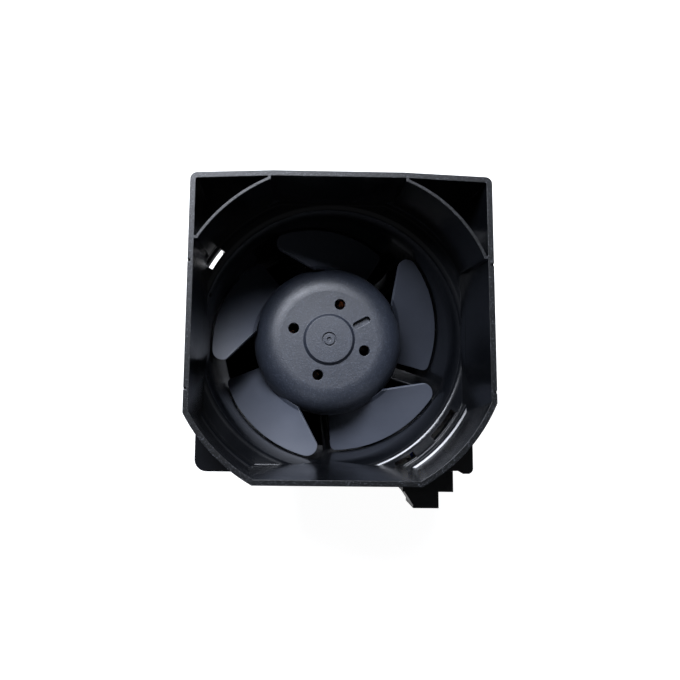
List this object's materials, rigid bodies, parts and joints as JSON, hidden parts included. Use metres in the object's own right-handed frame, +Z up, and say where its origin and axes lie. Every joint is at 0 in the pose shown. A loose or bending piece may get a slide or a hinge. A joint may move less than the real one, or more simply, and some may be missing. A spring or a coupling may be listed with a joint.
{
  "type": "server fan module",
  "caption": "Square axial fan module: a short inlet shroud with webbed upper corners, a bell mouth, a five-blade impeller, an outlet stator and a plug under one corner.",
  "frame": {"origin": "on the fan's axis, in the plane of the outlet face, at the centre of its four screw holes", "axes": "+Y along the airflow and out of the outlet, +Z up, +X to the right as seen from the inlet"},
  "size_m": [0.06, 0.056, 0.0701],
  "materials": {
    "housing_plastic": "black glass-filled polyester, semi-gloss",
    "impeller_plastic": "dark slate, fine satin grain",
    "plug_plastic": "black, matt",
    "contact_tin": "tin plated",
    "yoke_steel": "zinc plated",
    "bonded_magnet": "bonded ferrite",
    "bush_brass": "turned",
    "ground_steel": "ground",
    "lamination_steel": "stacked sheets",
    "insulator_plastic": "ivory",
    "enamelled_copper": "enamelled wire",
    "board_laminate": "green solder resist",
    "chip_plastic": "moulded epoxy",
    "capacitor_can": "drawn can",
    "lead_blue": "wire insulation",
    "lead_yellow": "wire insulation",
    "lead_black": "wire insulation",
    "lead_red": "wire insulation"
  },
  "bodies": {
    "housing": {"inlet_shroud": "housing_plastic", "fan_frame": "housing_plastic", "outlet_stator": "housing_plastic", "connector_holder": "housing_plastic", "connector_plug": "plug_plastic", "connector_contacts": "contact_tin", "front_bearing_outer_ring": "ground_steel", "rear_bearing_outer_ring": "ground_steel", "bearing_tube": "bush_brass", "stator_core": "lamination_steel", "front_insulator": "insulator_plastic", "rear_insulator": "insulator_plastic", "stator_coils": "enamelled_copper", "winding_pins": "contact_tin", "circuit_board": "board_laminate", "driver_chip": "chip_plastic", "power_switches": "chip_plastic", "hall_sensor": "chip_plastic", "board_capacitor": "capacitor_can", "lead_blue": "lead_blue", "lead_yellow": "lead_yellow", "lead_black": "lead_black", "lead_red": "lead_red"},
    "rotor": {"impeller": "impeller_plastic", "rotor_yoke": "yoke_steel", "ring_magnet": "bonded_magnet", "hub_bush": "bush_brass", "shaft": "ground_steel", "front_bearing_inner_ring": "ground_steel", "rear_bearing_inner_ring": "ground_steel", "preload_washer": "ground_steel", "retaining_clip": "ground_steel"}
  },
  "joints": [
    {"name": "rotor_spin", "type": "hinge", "parent": "housing", "child": "rotor", "pos_m": [0, -0.02, 0], "axis": [0, -1, 0], "continuous": true}
  ]
}
